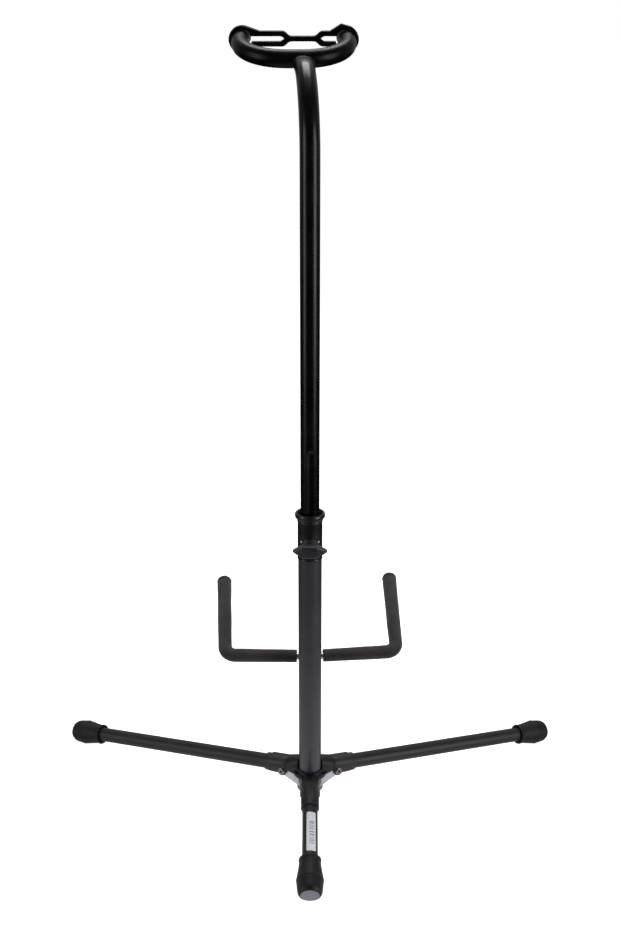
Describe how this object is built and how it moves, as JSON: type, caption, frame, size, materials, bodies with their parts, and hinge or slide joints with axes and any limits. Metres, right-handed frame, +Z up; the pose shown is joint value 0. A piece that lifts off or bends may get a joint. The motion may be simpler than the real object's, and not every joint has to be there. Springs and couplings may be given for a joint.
{
  "type": "instrument stand",
  "caption": "Folding three-legged stand with a telescoping bent mast, a padded neck yoke with a safety strap, and a foam-covered cradle for the instrument's body.",
  "frame": {"origin": "on the floor, under the column's axis", "axes": "+Z up along the column, +Y towards the instrument (yoke, cradle and the two long legs), so the short rear leg points along -Y"},
  "size_m": [0.6158, 0.3215, 0.8624],
  "materials": {
    "gloss_black_tube": "gloss",
    "satin_black_tube": "satin",
    "zinc": "satin",
    "black_plastic": "matte",
    "white_nylon": "matte",
    "black_rubber": "matte",
    "black_foam": "matte",
    "label_paper": "satin"
  },
  "bodies": {
    "base": {"outer_column": "satin_black_tube", "column_end_plug": "black_plastic", "column_collar": "black_plastic", "clamp_nut": "zinc", "hub_top_plate": "satin_black_tube", "hub_bottom_bracket": "zinc", "hub_bolt": "zinc", "pivot_rivet_left": "zinc", "pivot_rivet_right": "zinc", "pivot_rivet_rear": "zinc", "cradle_bracket": "satin_black_tube", "cradle_screw": "zinc"},
    "mast": {"mast_tube": "gloss_black_tube", "mast_guide_plug": "black_plastic", "yoke_rod": "zinc", "yoke_cover": "black_rubber", "yoke_cap_left": "black_rubber", "yoke_cap_right": "black_rubber"},
    "strap": {"safety_strap": "black_rubber"},
    "clamp_tip": {"clamp_pad": "white_nylon"},
    "clamp_handle": {"clamp_screw": "zinc", "clamp_knob": "black_plastic"},
    "left_leg": {"leg_socket_left": "black_plastic", "leg_tube_left": "satin_black_tube", "foot_left": "black_rubber"},
    "right_leg": {"leg_socket_right": "black_plastic", "leg_tube_right": "satin_black_tube", "foot_right": "black_rubber"},
    "rear_leg": {"leg_socket_rear": "black_plastic", "leg_tube_rear": "satin_black_tube", "foot_rear": "black_rubber", "rear_leg_label": "label_paper"},
    "cradle": {"cradle_rod": "zinc", "cradle_foam_left": "black_foam", "cradle_foam_right": "black_foam", "cradle_cap_left": "black_plastic", "cradle_cap_right": "black_plastic"}
  },
  "joints": [
    {"name": "mast_slide", "type": "slide", "parent": "base", "child": "mast", "axis": [0, 0, 1], "range_m": [-0.095, 0.12]},
    {"name": "strap_release", "type": "hinge", "parent": "mast", "child": "strap", "pos_m": [-0.07069, 0.1294, 0.84769], "axis": [0.1322, 0.9221, 0.3637], "range_deg": [0, 85], "deforming": ["safety_strap"]},
    {"name": "screw_travel", "type": "slide", "parent": "base", "child": "clamp_tip", "axis": [0, -1, 0], "range_m": [0, 0.002]},
    {"name": "knob_turn", "type": "hinge", "parent": "clamp_tip", "child": "clamp_handle", "pos_m": [0, -0.03, 0.344], "axis": [0, -1, 0], "range_deg": [0, 725]},
    {"name": "left_leg_fold", "type": "hinge", "parent": "base", "child": "left_leg", "pos_m": [-0.0286, 0.01457, 0.05036], "axis": [-0.454, -0.891, 0], "range_deg": [0, 80.5]},
    {"name": "right_leg_fold", "type": "hinge", "parent": "base", "child": "right_leg", "pos_m": [0.0286, 0.01457, 0.05036], "axis": [-0.454, 0.891, 0], "range_deg": [0, 80.5]},
    {"name": "rear_leg_fold", "type": "hinge", "parent": "base", "child": "rear_leg", "pos_m": [0, -0.03026, 0.04523], "axis": [1, 0, 0], "range_deg": [0, 70]},
    {"name": "cradle_fold", "type": "hinge", "parent": "base", "child": "cradle", "pos_m": [0.0015, 0.022, 0.1914], "axis": [0.9989, 0.0471, 0], "range_deg": [-24, 66]}
  ],
  "couplings": [
    {"joint": "knob_turn", "follows": "screw_travel", "rad_per_m": 6283.2}
  ]
}
